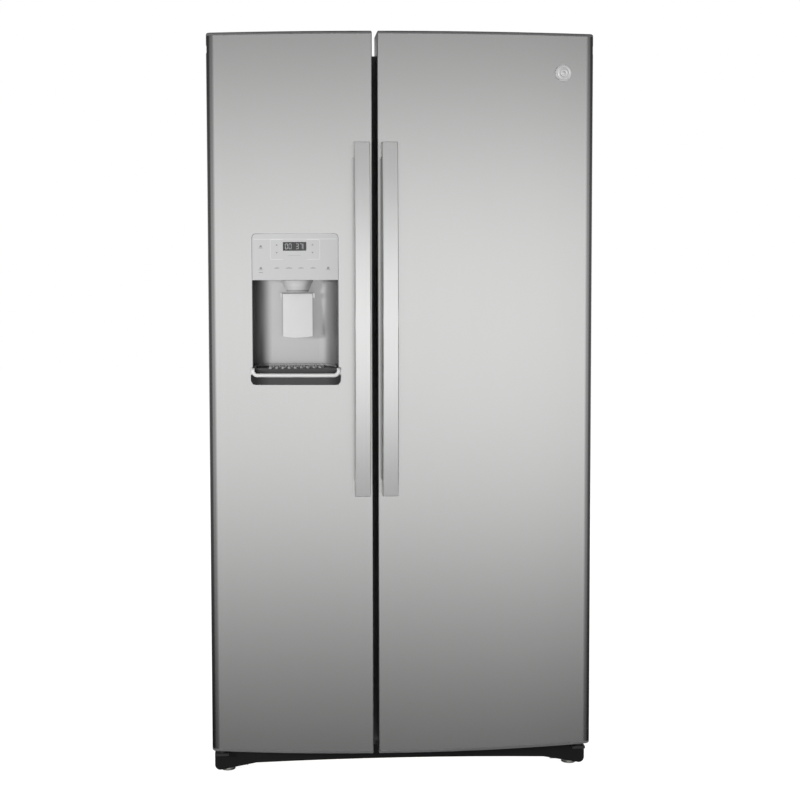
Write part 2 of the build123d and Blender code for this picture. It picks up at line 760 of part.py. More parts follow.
def dairy_cover():
    """Lift-up lid of the dairy bin, pivoting on its rear edge."""
    x = (FRESH_DIKE_X[0] + DIKE_WIDTH + 1, FRESH_DIKE_X[1] - DIKE_WIDTH - 1)
    lid = block(x, (-268, -188), (1504, 1507)) + block(x, (-191, -188), (1440, 1507))
    return lid + rod_x(x, -268, 1505.5, 3)


def badge():
    """Plain round disc near the top of the fresh food door."""
    x = 379
    z = 1675
    disc = bowed(2.5, (z - 30, z + 30)) & rod_y(x, (HANDLE_FRONT, DOOR_BACK), z, 19)
    return disc - bowed(0, (z - 31, z + 31))


# -------------------------------------------------------------- dispenser

def cavity_plan(shrink):
    """The dispenser hollow from above, with wide rounded rear corners."""
    x = grown(DISPENSER_X, -2 - shrink)
    y = (HANDLE_FRONT, DISPENSER_BACK - 4 - shrink)
    plan = Pos(middle(x), middle(y)) * Rectangle(x[1] - x[0], y[1] - y[0])
    rear = plan.vertices().group_by(Axis.Y)[-1]
    return fillet(rear, CAVITY_ROUND - shrink)


def dispenser_housing():
    """Recessed housing with its hollow, drip sill, chute cone and paddle lugs."""
    housing = dispenser_pocket() & bowed(1, grown(DISPENSER_Z, 5))
    housing -= raised(cavity_plan(0), (CAVITY_FLOOR, PANEL_Z))
    electronics = round_topped(grown(DISPENSER_X, -3), (HANDLE_FRONT, DISPENSER_BACK - 4),
                               (PANEL_Z + 4, DISPENSER_Z[1] - 3), PANEL_ROUND - 3)
    housing -= electronics
    sill_x = grown(DISPENSER_X, 4)
    sill = block(sill_x, (HANDLE_FRONT, DOOR_BACK), (DISPENSER_Z[0], TRAY_LIP_TOP))
    sill = fillet(sill.edges().filter_by(Axis.Y).group_by(Axis.Z)[0], 12)
    sill &= bowed(TRAY_PROUD, grown(DISPENSER_Z, 5))
    housing += sill - bowed(0, grown(DISPENSER_Z, 5))
    cone_y = CHUTE_FOOT[1]
    cone = Pos(DISPENSER_MID, cone_y, PANEL_Z - 14) * Cone(24, 36, 34)
    housing += cone & block(DISPENSER_X, (HANDLE_FRONT, DISPENSER_BACK), (1167, PANEL_Z + 1))
    bore = Pos(DISPENSER_MID, cone_y, PANEL_Z - 14) * Cone(20, 32, 34)
    housing -= bore + rod_z(DISPENSER_MID, cone_y, (PANEL_Z - 5, PANEL_Z + 6), 27)
    for lug in ((PADDLE_X[0] - 6, PADDLE_X[0] - 1), (PADDLE_X[1] + 1, PADDLE_X[1] + 6)):
        housing += block(lug, (PADDLE_Y - 5, DISPENSER_BACK - 2), (PADDLE_Z[1] - 6, PADDLE_Z[1] + 6))
    housing -= rod_x(grown(PADDLE_X, 10), PADDLE_Y, PADDLE_Z[1], PADDLE_PIN + PIN_PLAY)
    return housing - (chute_bore(CHUTE_RADIUS) & chute_reach())


def chute_reach():
    """The part of the door that the ice chute crosses."""
    return block(DISPENSER_X, (HANDLE_FRONT, TOWER_Y), (PANEL_Z + 6, CHUTE_HEAD[2]))


def ice_chute():
    """Slanting tube through the door."""
    return (chute_bore(CHUTE_RADIUS) - chute_bore(CHUTE_RADIUS - 3)) & chute_reach()


def control_panel():
    """Curved fascia above the dispenser hollow, with a narrow gap around it."""
    face = round_topped(grown(DISPENSER_X, -PANEL_GAP), (HANDLE_FRONT, DISPENSER_BACK),
                        (PANEL_Z, DISPENSER_Z[1] - PANEL_GAP), PANEL_ROUND - PANEL_GAP)
    shell = bowed(4, grown(DISPENSER_Z, 5)) - bowed(1, grown(DISPENSER_Z, 6))
    return face & shell


def drip_grille():
    """Slotted plate on the hollow's floor."""
    plate = raised(cavity_plan(1), GRILLE_Z) & bowed(-2, grown(GRILLE_Z, 5))
    for row in range(4):
        for x in range(-312, -186, 12):
            y = -352 + row * 12
            plate -= block((x, x + 4), (y, y + 8), grown(GRILLE_Z, 1))
    return plate


def paddle_wedge(x, front_y, rear_y, z):
    """A prism along X whose front leans forward towards its foot."""
    outline = Polyline((front_y[1], z[1]), (rear_y, z[1]), (rear_y, z[0]), (front_y[0], z[0]), close=True)
    side_view = make_face(Plane.YZ * outline)
    return Pos(x[0], 0, 0) * extrude(side_view, x[1] - x[0], dir=(1, 0, 0))


def dispenser_paddle():
    """Hollow scoop-shaped push paddle that hangs from two pins and is open behind."""
    outer = paddle_wedge(PADDLE_X, PADDLE_FRONT_Y, PADDLE_REAR_Y, (PADDLE_Z[0], PADDLE_TOP))
    inner_front = (PADDLE_FRONT_Y[0] + PADDLE_WALL, PADDLE_FRONT_Y[1] + PADDLE_WALL)
    inner_z = (PADDLE_Z[0] + PADDLE_WALL + 2, PADDLE_TOP - PADDLE_WALL)
    inner = paddle_wedge(grown(PADDLE_X, -PADDLE_WALL), inner_front, PADDLE_REAR_Y + 1, inner_z)
    rounded_foot = rod_y(DISPENSER_MID, (HANDLE_FRONT, DISPENSER_BACK), PADDLE_Z[0] + PADDLE_SAG_RADIUS,
                         PADDLE_SAG_RADIUS)
    paddle = (outer & rounded_foot) - inner
    paddle += rod_x(PADDLE_X, PADDLE_Y, PADDLE_Z[1], 4)
    return paddle + rod_x(grown(PADDLE_X, 5.5), PADDLE_Y, PADDLE_Z[1], PADDLE_PIN)


# ---------------------------------------------------------------- writing

os.makedirs("parts", exist_ok=True)

save("outer_case", outer_case())
save("back_panel", back_panel())
save("cabinet_foam", cabinet_foam())
save("freezer_liner", liner(FREEZER_X))
save("fresh_food_liner", liner(FRESH_X))
save("chassis", chassis())
save("base_grille", base_grille())
save("top_hinges", top_hinge(-1), top_hinge(1))
save("bottom_hinges", bottom_hinge(-1), bottom_hinge(1))
save("hinge_screws", *hinge_screws())
save("hinge_cover_left", hinge_cover(-1))
save("hinge_cover_right", hinge_cover(1))
save("fresh_shelf_frames", *fresh_shelf_frames())
save("fresh_shelf_glass", *fresh_shelf_glass())
save("freezer_racks", *[freezer_rack(z) for z in FREEZER_RACKS])
save("evaporator_cover", evaporator_cover())
save("evaporator_coil", evaporator_coil())
save("evaporator_fan", evaporator_fan())
save("ice_maker", ice_maker())
save("ice_bucket", ice_bucket())
save("ice_auger", ice_auger())
save("light_lenses", *light_lenses())
save("compressor", compressor())
save("condenser_coil", *condenser_coil())
save("fan_shroud", fan_shroud())
save("condenser_fan", condenser_fan())
save("rear_cover", rear_cover())
save("water_valve", water_valve())
save("cord_gland", cord_gland())

for name, side in (("left", -1), ("right", 1)):
    save(f"roller_front_{name}", roller(side, FRONT_ROLLER_Y, FRONT_ROLLER_LIFT))
    save(f"roller_rear_{name}", roller(side, REAR_ROLLER_Y, 0))
    save(f"levelling_leg_{name}", levelling_leg(side))

save("crisper_lower", crisper_lower())
save("crisper_upper", crisper_upper())
save("snack_drawer", snack_drawer())
save("freezer_basket", freezer_basket())

save("freezer_door_skin", freezer_door_skin())
save("freezer_door_core", freezer_door_core())
save("freezer_door_liner", freezer_door_liner())
save("freezer_door_caps", *door_caps(FREEZER_DOOR_X, -1))
save("freezer_door_gasket", gasket(FREEZER_GASKET_X))
save("freezer_door_bins", *freezer_door_bins())
handle_edge = FREEZER_DOOR_X[1] - HANDLE_INSET
save("freezer_handle", handle((handle_edge - HANDLE_WIDTH, handle_edge)))

save("dispenser_housing", dispenser_housing())
save("control_panel", control_panel())
save("ice_chute", ice_chute())
save("drip_grille", drip_grille())
save("dispenser_paddle", dispenser_paddle())

save("fresh_door_skin", door_skin(FRESH_DOOR_X, 1))
save("fresh_door_core", fresh_door_core())
save("fresh_door_liner", fresh_door_liner())
save("fresh_door_caps", *door_caps(FRESH_DOOR_X, 1))
save("fresh_door_gasket", gasket(FRESH_GASKET_X))
save("fresh_door_bins", *fresh_door_bins())
save("dairy_cover", dairy_cover())
handle_edge = FRESH_DOOR_X[0] + HANDLE_INSET
save("fresh_handle", handle((handle_edge, handle_edge + HANDLE_WIDTH)))
save("badge", badge())
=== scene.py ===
import json
from math import cos, pi, radians, sin

import bpy
import numpy as np
from mathutils import Matrix, Vector


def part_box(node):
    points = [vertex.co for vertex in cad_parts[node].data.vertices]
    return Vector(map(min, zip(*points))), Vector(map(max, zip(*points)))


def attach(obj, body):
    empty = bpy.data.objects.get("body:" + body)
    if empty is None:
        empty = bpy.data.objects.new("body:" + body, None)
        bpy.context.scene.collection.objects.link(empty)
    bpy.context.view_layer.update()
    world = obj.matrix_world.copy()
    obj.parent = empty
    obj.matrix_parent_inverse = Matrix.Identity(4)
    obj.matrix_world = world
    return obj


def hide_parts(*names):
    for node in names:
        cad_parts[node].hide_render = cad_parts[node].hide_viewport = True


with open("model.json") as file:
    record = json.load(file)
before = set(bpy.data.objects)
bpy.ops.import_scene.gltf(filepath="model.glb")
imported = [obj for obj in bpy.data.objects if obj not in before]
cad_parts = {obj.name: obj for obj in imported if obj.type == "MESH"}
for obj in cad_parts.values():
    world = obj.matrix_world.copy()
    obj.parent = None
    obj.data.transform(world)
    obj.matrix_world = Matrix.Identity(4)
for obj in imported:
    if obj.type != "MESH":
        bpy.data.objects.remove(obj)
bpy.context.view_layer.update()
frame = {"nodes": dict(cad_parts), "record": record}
NODES = frame["nodes"]

# Sizes in metres. One bow of this radius runs across both doors.
BOW_RADIUS = 2.59645
BOW_CENTRE = 2.21495
PANEL_PROUD = 0.004
PRINT_PROUD = PANEL_PROUD + 0.00015
PRINT_THICK = 0.0004
DISPLAY_PROUD = PANEL_PROUD + 0.0006
DIGIT_PROUD = PANEL_PROUD + 0.0009
DIGIT_THICK = 0.0005
BEVEL_PROUD = PANEL_PROUD + 0.0004
BEVEL_THICK = 0.001
DISPENSER_MID = -0.2445
CHUTE_Y = -0.332


def bow_y(x, proud=0.0):
    """Front of the doors at x: the centre of the bow less the height of its circle, grown by proud."""
    return BOW_CENTRE - np.sqrt((BOW_RADIUS + proud) ** 2 - np.square(x))


# ------------------------------------------------------------------ shader groups

def new_group(name, inputs, outputs):
    """A shader node group with named sockets, given as (name, socket type, default)."""
    group = bpy.data.node_groups.new(name, "ShaderNodeTree")
    for label, kind, default in inputs:
        socket = group.interface.new_socket(name=label, in_out="INPUT", socket_type=kind)
        if default is not None:
            socket.default_value = default
    for label, kind in outputs:
        group.interface.new_socket(name=label, in_out="OUTPUT", socket_type=kind)
    return group, group.nodes.new("NodeGroupInput"), group.nodes.new("NodeGroupOutput")


def math_node(tree, operation, first, second=None, clamp=False):
    """A Math node whose inputs are sockets or numbers."""
    node = tree.nodes.new("ShaderNodeMath")
    node.operation = operation
    node.use_clamp = clamp
    for index, value in enumerate((first, second)):
        if isinstance(value, (int, float)):
            node.inputs[index].default_value = value
        elif value is not None:
            tree.links.new(value, node.inputs[index])
    return node.outputs[0]


def stretched(tree, vector, stretch):
    """Position multiplied by a stretch along each axis."""
    node = tree.nodes.new("ShaderNodeVectorMath")
    node.operation = "MULTIPLY"
    tree.links.new(vector, node.inputs[0])
    if isinstance(stretch, tuple):
        node.inputs[1].default_value = stretch
    else:
        tree.links.new(stretch, node.inputs[1])
    return node.outputs[0]


def noise(tree, vector, scale, detail=3.0, rough=0.55):
    """Noise value at a scale."""
    node = tree.nodes.new("ShaderNodeTexNoise")
    node.inputs["Detail"].default_value = detail
    node.inputs["Roughness"].default_value = rough
    if isinstance(scale, (int, float)):
        node.inputs["Scale"].default_value = scale
    else:
        tree.links.new(scale, node.inputs["Scale"])
    tree.links.new(vector, node.inputs["Vector"])
    return node.outputs["Fac"]


def remap(tree, value, low, high, to_low, to_high):
    """A value carried from one range to another and held at its ends."""
    node = tree.nodes.new("ShaderNodeMapRange")
    tree.links.new(value, node.inputs["Value"])
    for label, number in (("From Min", low), ("From Max", high), ("To Min", to_low), ("To Max", to_high)):
        if isinstance(number, (int, float)):
            node.inputs[label].default_value = number
        else:
            tree.links.new(number, node.inputs[label])
    return node.outputs["Result"]


def toned(tree, color, factor):
    """A colour multiplied by a factor."""
    node = tree.nodes.new("ShaderNodeVectorMath")
    node.operation = "SCALE"
    tree.links.new(color, node.inputs[0])
    tree.links.new(factor, node.inputs["Scale"])
    return node.outputs[0]


def placed_group(tree, group, where, settings):
    """One of the shared groups in a material, reading positions and set to its own values."""
    node = tree.nodes.new("ShaderNodeGroup")
    node.node_tree = group
    tree.links.new(where, node.inputs["Position"])
    for label, value in settings.items():
        node.inputs[label].default_value = value
    return node


def make_surface_group():
    """Grain, cloudy tone, upright scuffs and dull smudges, shared by every finish."""
    group, source, sink = new_group(
        "surface_detail",
        [("Position", "NodeSocketVector", None), ("Stretch", "NodeSocketVector", (1.0, 1.0, 1.0)),
         ("Grain Scale", "NodeSocketFloat", 400.0), ("Cloud Scale", "NodeSocketFloat", 6.0),
         ("Color", "NodeSocketColor", (0.5, 0.5, 0.5, 1.0)), ("Grain Tone", "NodeSocketFloat", 0.05),
         ("Cloud Tone", "NodeSocketFloat", 0.05), ("Roughness", "NodeSocketFloat", 0.4),
         ("Roughness Change", "NodeSocketFloat", 0.1), ("Wear", "NodeSocketFloat", 0.1)],
        [("Color", "NodeSocketColor"), ("Roughness", "NodeSocketFloat"), ("Height", "NodeSocketFloat")])
    place = source.outputs["Position"]
    grain = noise(group, stretched(group, place, source.outputs["Stretch"]), source.outputs["Grain Scale"])
    cloud = noise(group, place, source.outputs["Cloud Scale"], 2.0)
    smudge_noise = noise(group, stretched(group, place, (1.0, 1.0, 1.7)), 9.0, 4.0, 0.62)
    smudge = remap(group, smudge_noise, 0.52, 0.72, 0.0, 1.0)
    scuff_noise = noise(group, stretched(group, place, (40.0, 40.0, 3.0)), 6.0, 3.0, 0.5)
    scuff = remap(group, scuff_noise, 0.66, 0.74, 0.0, 1.0)
    grain_part = math_node(group, "MULTIPLY", math_node(group, "SUBTRACT", grain, 0.5),
                           source.outputs["Grain Tone"])
    cloud_part = math_node(group, "MULTIPLY", math_node(group, "SUBTRACT", cloud, 0.5),
                           source.outputs["Cloud Tone"])
    scuff_worn = math_node(group, "MULTIPLY", source.outputs["Wear"], 0.15)
    wear_part = math_node(group, "MULTIPLY", scuff, scuff_worn)
    tone = math_node(group, "ADD", math_node(group, "ADD", grain_part, cloud_part), 1.0)
    tone = math_node(group, "ADD", tone, wear_part)
    rough = math_node(group, "MULTIPLY", math_node(group, "SUBTRACT", cloud, 0.5),
                      source.outputs["Roughness Change"])
    rough = math_node(group, "ADD", rough, source.outputs["Roughness"])
    smudge_worn = math_node(group, "MULTIPLY", source.outputs["Wear"], 0.4)
    smudge_rough = math_node(group, "MULTIPLY", smudge, smudge_worn)
    rough = math_node(group, "ADD", rough, smudge_rough, clamp=True)
    group.links.new(toned(group, source.outputs["Color"], tone), sink.inputs["Color"])
    group.links.new(rough, sink.inputs["Roughness"])
    group.links.new(grain, sink.inputs["Height"])
    return group


def make_painted_shade_below_group():
    """Painted shade: darkens a colour below a height, over a short soft edge."""
    group, source, sink = new_group(
        "painted_shade_below",
        [("Position", "NodeSocketVector", None), ("Color", "NodeSocketColor", (0.5, 0.5, 0.5, 1.0)),
         ("Edge", "NodeSocketFloat", 0.0), ("Softness", "NodeSocketFloat", 0.002),
         ("Below", "NodeSocketFloat", 0.3)],
        [("Color", "NodeSocketColor")])
    split = group.nodes.new("ShaderNodeSeparateXYZ")
    group.links.new(source.outputs["Position"], split.inputs[0])
    top = math_node(group, "ADD", source.outputs["Edge"], source.outputs["Softness"])
    shade = remap(group, split.outputs["Z"], source.outputs["Edge"], top, source.outputs["Below"], 1.0)
    group.links.new(toned(group, source.outputs["Color"], shade), sink.inputs["Color"])
    return group


def make_spangle_group():
    """Flat crystal patches of zinc plating, each with its own tone."""
    group, source, sink = new_group(
        "zinc_spangle",
        [("Position", "NodeSocketVector", None), ("Scale", "NodeSocketFloat", 70.0)],
        [("Tone", "NodeSocketFloat")])
    cells = group.nodes.new("ShaderNodeTexVoronoi")
    group.links.new(source.outputs["Position"], cells.inputs["Vector"])
    group.links.new(source.outputs["Scale"], cells.inputs["Scale"])
    split = group.nodes.new("ShaderNodeSeparateColor")
    group.links.new(cells.outputs["Color"], split.inputs[0])
    group.links.new(split.outputs[0], sink.inputs["Tone"])
    return group


def make_painted_side_shade_group():
    """Painted shade: darkens a colour on both sides of a middle, from one distance off it to another."""
    group, source, sink = new_group(
        "painted_side_shade",
        [("Position", "NodeSocketVector", None), ("Color", "NodeSocketColor", (0.5, 0.5, 0.5, 1.0)),
         ("Start", "NodeSocketFloat", 0.44), ("End", "NodeSocketFloat", 0.45),
         ("Outside", "NodeSocketFloat", 0.5), ("Middle", "NodeSocketFloat", 0.0)],
        [("Color", "NodeSocketColor")])
    split = group.nodes.new("ShaderNodeSeparateXYZ")
    group.links.new(source.outputs["Position"], split.inputs[0])
    across = math_node(group, "SUBTRACT", split.outputs["X"], source.outputs["Middle"])
    off_middle = math_node(group, "ABSOLUTE", across)
    shade = remap(group, off_middle, source.outputs["Start"], source.outputs["End"], 1.0,
                  source.outputs["Outside"])
    group.links.new(toned(group, source.outputs["Color"], shade), sink.inputs["Color"])
    return group


SURFACE = make_surface_group()
SIDE_SHADE_PAINT = make_painted_side_shade_group()
SHADE_BELOW_PAINT = make_painted_shade_below_group()
SPANGLE = make_spangle_group()
SPANGLE_TONES = (0.82, 1.12)


def finish(name, color, rough, metallic=0.0, grain=(1.0, 1.0, 1.0), grain_scale=500.0, grain_tone=0.06,
           cloud_scale=5.0, cloud_tone=0.06, rough_change=0.12, bump=0.15, depth=0.0002, wear=0.1,
           coat=0.0, shade_below=None, sides=None, spangle=None, glow=0.0, clear=0.0, ior=1.5, specular=0.5):
    """A material: the shared surface detail feeding one Principled shader."""
    made = bpy.data.materials.new(name)
    made.use_nodes = True
    tree = made.node_tree
    shader = tree.nodes["Principled BSDF"]
    where = tree.nodes.new("ShaderNodeTexCoord").outputs["Object"]
    detail = placed_group(tree, SURFACE, where, {
        "Stretch": grain, "Grain Scale": grain_scale, "Cloud Scale": cloud_scale, "Color": (*color, 1.0),
        "Grain Tone": grain_tone, "Cloud Tone": cloud_tone, "Roughness": rough,
        "Roughness Change": rough_change, "Wear": wear})
    painted = detail.outputs["Color"]
    # Painted shade where asked for: darker below a height, and darker towards both sides of a middle.
    for group, labels, values in ((SHADE_BELOW_PAINT, ("Edge", "Softness", "Below"), shade_below),
                                  (SIDE_SHADE_PAINT, ("Start", "End", "Outside", "Middle"), sides)):
        if values:
            shade = placed_group(tree, group, where, dict(zip(labels, values)))
            tree.links.new(painted, shade.inputs["Color"])
            painted = shade.outputs["Color"]
    if spangle:
        patches = placed_group(tree, SPANGLE, where, {"Scale": spangle})
        painted = toned(tree, painted, remap(tree, patches.outputs["Tone"], 0.0, 1.0, *SPANGLE_TONES))
    tree.links.new(painted, shader.inputs["Base Color"])
    tree.links.new(detail.outputs["Roughness"], shader.inputs["Roughness"])
    relief = tree.nodes.new("ShaderNodeBump")
    relief.inputs["Strength"].default_value = bump
    relief.inputs["Distance"].default_value = depth
    tree.links.new(detail.outputs["Height"], relief.inputs["Height"])
    tree.links.new(relief.outputs["Normal"], shader.inputs["Normal"])
    shader.inputs["Metallic"].default_value = metallic
    shader.inputs["Coat Weight"].default_value = coat
    shader.inputs["Coat Roughness"].default_value = 0.15
    shader.inputs["IOR"].default_value = ior
    shader.inputs["Transmission Weight"].default_value = clear
    shader.inputs["Specular IOR Level"].default_value = specular
    if glow:
        tree.links.new(painted, shader.inputs["Emission Color"])
        shader.inputs["Emission Strength"].default_value = glow
    return made


# Brush lines run up and down on the doors and handles.
UPRIGHT_GRAIN = (1.0, 1.0, 0.012)

LOOKS = {
    # The sides setting paints shade on the doors' rounded outer side strips, in place of the dark room they
    # reflect.
    "stainless": finish("brushed_stainless", (0.66, 0.66, 0.655), 0.26, metallic=1.0,
        grain=UPRIGHT_GRAIN, grain_scale=700.0, grain_tone=0.05, cloud_scale=2.0, cloud_tone=0.012,
        rough_change=0.02, bump=0.08, depth=0.00005, wear=0.0, sides=(0.4350, 0.4405, 0.42, 0.0)),
    "handle_metal": finish("handle_satin_metal", (0.83, 0.83, 0.825), 0.3, metallic=0.85,
        grain=UPRIGHT_GRAIN, grain_scale=700.0, grain_tone=0.04, cloud_scale=4.0, cloud_tone=0.02,
        rough_change=0.03, bump=0.2, depth=0.00004, wear=0.0),
    "case_paint": finish("case_textured_paint", (0.115, 0.115, 0.12), 0.42, grain_scale=900.0,
        grain_tone=0.12, cloud_scale=3.0, cloud_tone=0.08, rough_change=0.1, bump=0.5, wear=0.3),
    "galvanised": finish("galvanised_sheet", (0.56, 0.57, 0.58), 0.42, metallic=0.9, grain_scale=300.0,
        grain_tone=0.05, cloud_scale=3.0, cloud_tone=0.08, bump=0.12, depth=0.0001, wear=0.4,
        spangle=75.0),
    "foam": finish("insulation_foam", (0.86, 0.78, 0.55), 0.9, grain_scale=260.0, grain_tone=0.12,
        cloud_scale=12.0, cloud_tone=0.12, rough_change=0.05, bump=0.8, depth=0.0012, wear=0.2),
    "white_liner": finish("vacuum_formed_liner", (0.86, 0.87, 0.87), 0.32, grain_scale=350.0,
        grain_tone=0.015, cloud_scale=3.0, cloud_tone=0.02, rough_change=0.08, bump=0.12, coat=0.2),
    "black_plastic": finish("black_moulded_plastic", (0.009, 0.009, 0.0095), 0.5, grain_scale=800.0,
        grain_tone=0.25, cloud_scale=8.0, cloud_tone=0.2, rough_change=0.14, bump=0.5, depth=0.00025,
        wear=0.4, specular=0.12),
    "black_steel": finish("black_enamelled_steel", (0.03, 0.03, 0.032), 0.35, metallic=0.3,
        grain_tone=0.15, cloud_scale=10.0, cloud_tone=0.2, rough_change=0.2, bump=0.3, wear=0.6),
    "zinc": finish("zinc_plated_steel", (0.62, 0.61, 0.58), 0.32, metallic=1.0, grain_scale=600.0,
        grain_tone=0.08, cloud_scale=30.0, cloud_tone=0.12, rough_change=0.2, bump=0.2, depth=0.0001,
        wear=0.4),
    "white_plastic": finish("white_moulded_plastic", (0.82, 0.83, 0.83), 0.38, grain_scale=600.0,
        grain_tone=0.02, cloud_tone=0.03, rough_change=0.1, bump=0.2, coat=0.1),
    "shelf_glass": finish("tempered_shelf_glass", (0.88, 0.96, 0.94), 0.03, grain_scale=60.0,
        grain_tone=0.01, cloud_scale=4.0, cloud_tone=0.02, rough_change=0.02, bump=0.02, depth=0.0001,
        wear=0.05, clear=0.9),
    "white_wire": finish("white_coated_wire", (0.85, 0.85, 0.84), 0.25, grain_scale=300.0,
        grain_tone=0.03, cloud_scale=20.0, cloud_tone=0.05, rough_change=0.1, bump=0.3, depth=0.0003,
        wear=0.2, coat=0.4),
    "aluminium": finish("mill_aluminium", (0.77, 0.77, 0.78), 0.33, metallic=1.0, grain=(0.05, 1.0, 1.0),
        grain_tone=0.08, cloud_scale=12.0, cloud_tone=0.08, bump=0.2, depth=0.0001, wear=0.3),
    "clear_plastic": finish("clear_bin_plastic", (0.9, 0.94, 0.95), 0.08, grain_scale=120.0,
        grain_tone=0.01, cloud_tone=0.02, rough_change=0.06, bump=0.05, wear=0.15, clear=0.82, ior=1.45),
    "lens": finish("light_lens", (0.95, 0.95, 0.91), 0.4, grain_scale=300.0, grain_tone=0.03,
        cloud_scale=30.0, rough_change=0.05, bump=0.3, depth=0.0003, wear=0.05, glow=0.8),
    "dark_cap": finish("door_end_cap", (0.11, 0.11, 0.112), 0.45, grain_scale=900.0, grain_tone=0.15,
        cloud_scale=8.0, cloud_tone=0.15, rough_change=0.1, bump=0.4),
    "gasket": finish("seal_rubber", (0.17, 0.17, 0.175), 0.62, grain_scale=400.0, grain_tone=0.1,
        cloud_scale=14.0, cloud_tone=0.15, rough_change=0.1, bump=0.3, wear=0.3),
    # Painted shade in the hollow: darker under the floor's edge, where the sill lip's underside lies in
    # shadow, and darker towards the hollow's curved side walls.
    "dispenser_plastic": finish("dispenser_silver_lining", (0.5, 0.5, 0.5), 0.24, metallic=0.45,
        grain=(1.0, 1.0, 0.05), grain_tone=0.03, cloud_scale=8.0, cloud_tone=0.03, rough_change=0.03,
        bump=0.1, depth=0.00006, wear=0.03, shade_below=(0.9838, 0.0006, 0.1),
        sides=(0.066, 0.098, 0.12, DISPENSER_MID)),
    "silver_plastic": finish("silver_fascia", (0.54, 0.54, 0.545), 0.42, metallic=0.25,
        grain_scale=1400.0, grain_tone=0.07, cloud_scale=6.0, cloud_tone=0.03, rough_change=0.06,
        depth=0.00008, coat=0.15),
    "paddle_plastic": finish("paddle_silver_plastic", (0.66, 0.66, 0.66), 0.38, metallic=0.1,
        grain_scale=900.0, grain_tone=0.04, cloud_scale=20.0, cloud_tone=0.05, rough_change=0.06,
        depth=0.00008, wear=0.15, coat=0.1),
    "badge_metal": finish("badge_metal", (0.84, 0.84, 0.84), 0.36, metallic=0.6, grain_scale=600.0,
        grain_tone=0.04, cloud_scale=30.0, cloud_tone=0.05, rough_change=0.05, depth=0.00005),
    "roller": finish("roller_nylon", (0.12, 0.12, 0.12), 0.5, grain_tone=0.12, cloud_scale=25.0,
        cloud_tone=0.2, bump=0.3, depth=0.0003, wear=0.6),
}

GRILLE_LOOK = finish("drip_grille_plastic", (0.05, 0.05, 0.052), 0.35, grain_scale=700.0,
    grain_tone=0.15, cloud_scale=20.0, cloud_tone=0.15, rough_change=0.1, bump=0.3, wear=0.3)
CHROME_LOOK = finish("sill_bright_metal", (0.74, 0.74, 0.735), 0.3, metallic=0.35,
    grain=(0.03, 1.0, 1.0), grain_scale=700.0, grain_tone=0.04, cloud_scale=15.0, cloud_tone=0.04,
    rough_change=0.05, depth=0.00005, wear=0.15)
WINDOW_LOOK = finish("display_window", (0.012, 0.013, 0.014), 0.16, grain_scale=300.0, grain_tone=0.2,
    cloud_scale=40.0, cloud_tone=0.2, rough_change=0.05, bump=0.03, depth=0.00005, wear=0.05, coat=0.5)
DIGIT_LOOK = finish("display_digits", (0.42, 0.44, 0.45), 0.5, grain_scale=900.0, grain_tone=0.1,
    cloud_scale=60.0, cloud_tone=0.1, rough_change=0.05, bump=0.05, depth=0.00005, wear=0.0, glow=0.2)
PRINT_LOOK = finish("panel_printing", (0.24, 0.24, 0.245), 0.5, grain_scale=1500.0, grain_tone=0.2,
    cloud_scale=60.0, cloud_tone=0.1, rough_change=0.05, bump=0.1, depth=0.00005)
# Pale colour of the panel's bevel lines: painted highlight, standing for the light the bevel edges catch.
BEVEL_HIGHLIGHT_LOOK = finish("panel_bevel_painted_highlight", (0.76, 0.76, 0.765), 0.4, metallic=0.1, grain_scale=1500.0,
    grain_tone=0.05, cloud_scale=60.0, cloud_tone=0.05, rough_change=0.05, bump=0.1, depth=0.00005)

for subpart in frame["record"]["subparts"]:
    look = LOOKS[subpart["material_slot"]]
    for index in range(len(NODES[subpart["node"]].data.materials)):
        NODES[subpart["node"]].material_slots[index].material = look
for node, look in (("drip_grille", GRILLE_LOOK), ("freezer_door_core", LOOKS["black_steel"]),
                   ("fresh_door_core", LOOKS["black_steel"])):
    for index in range(len(NODES[node].data.materials)):
        NODES[node].material_slots[index].material = look


# ------------------------------------------------------------------ mesh makers

def enclosed_volume(mesh):
    """Sum over the triangles of a sixth of the corners' triple product, which is negative inside out."""
    mesh.calc_loop_triangles()
    corners = np.empty(len(mesh.loop_triangles) * 3, np.int32)
    mesh.loop_triangles.foreach_get("vertices", corners)
    places = np.empty(len(mesh.vertices) * 3)
    mesh.vertices.foreach_get("co", places)
    a, b, c = places.reshape(-1, 3)[corners.reshape(-1, 3)].transpose(1, 0, 2)
    return float(np.einsum("ij,ij->i", a, np.cross(b, c)).sum() / 6)


def put(name, points, faces, look, body, smooth=True, slot=None):
    """Makes a piece from points and faces, gives it a finish and sets it riding on a body."""
    mesh = bpy.data.meshes.new(name)
    mesh.from_pydata(points.tolist(), [], faces)
    mesh.polygons.foreach_set("use_smooth", np.full(len(mesh.polygons), smooth))
    mesh.materials.append(look)
    mesh.update()
    if enclosed_volume(mesh) < 0:
        mesh.flip_normals()
    piece = bpy.data.objects.new(name, mesh)
    bpy.context.scene.collection.objects.link(piece)
    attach(piece, body)
    return piece


def grid_faces(rows, columns, wrap_rows=False):
    """Quads over a rows by columns grid whose columns go round, and whose rows may too."""
    r = np.arange(rows if wrap_rows else rows - 1)
    c = np.arange(columns)
    r, c = (a.ravel() for a in np.meshgrid(r, c, indexing="ij"))
    r2, c2 = (r + 1) % rows, (c + 1) % columns
    quads = np.stack([r * columns + c, r * columns + c2, r2 * columns + c2, r2 * columns + c], axis=1)
    return quads.tolist()


def capped(rows, columns):
    """Quads of an open tube of closed rings, with a face over each end."""
    last = (rows - 1) * columns
    return [*grid_faces(rows, columns), list(range(columns))[::-1], list(range(last, last + columns))]


def joined(parts):
    """Stacks several (points, faces) meshes into one."""
    points, faces, start = [], [], 0
    for part_points, part_faces in parts:
        points.append(part_points)
        faces.extend([[start + i for i in face] for face in part_faces])
        start += len(part_points)
    return np.concatenate(points), faces


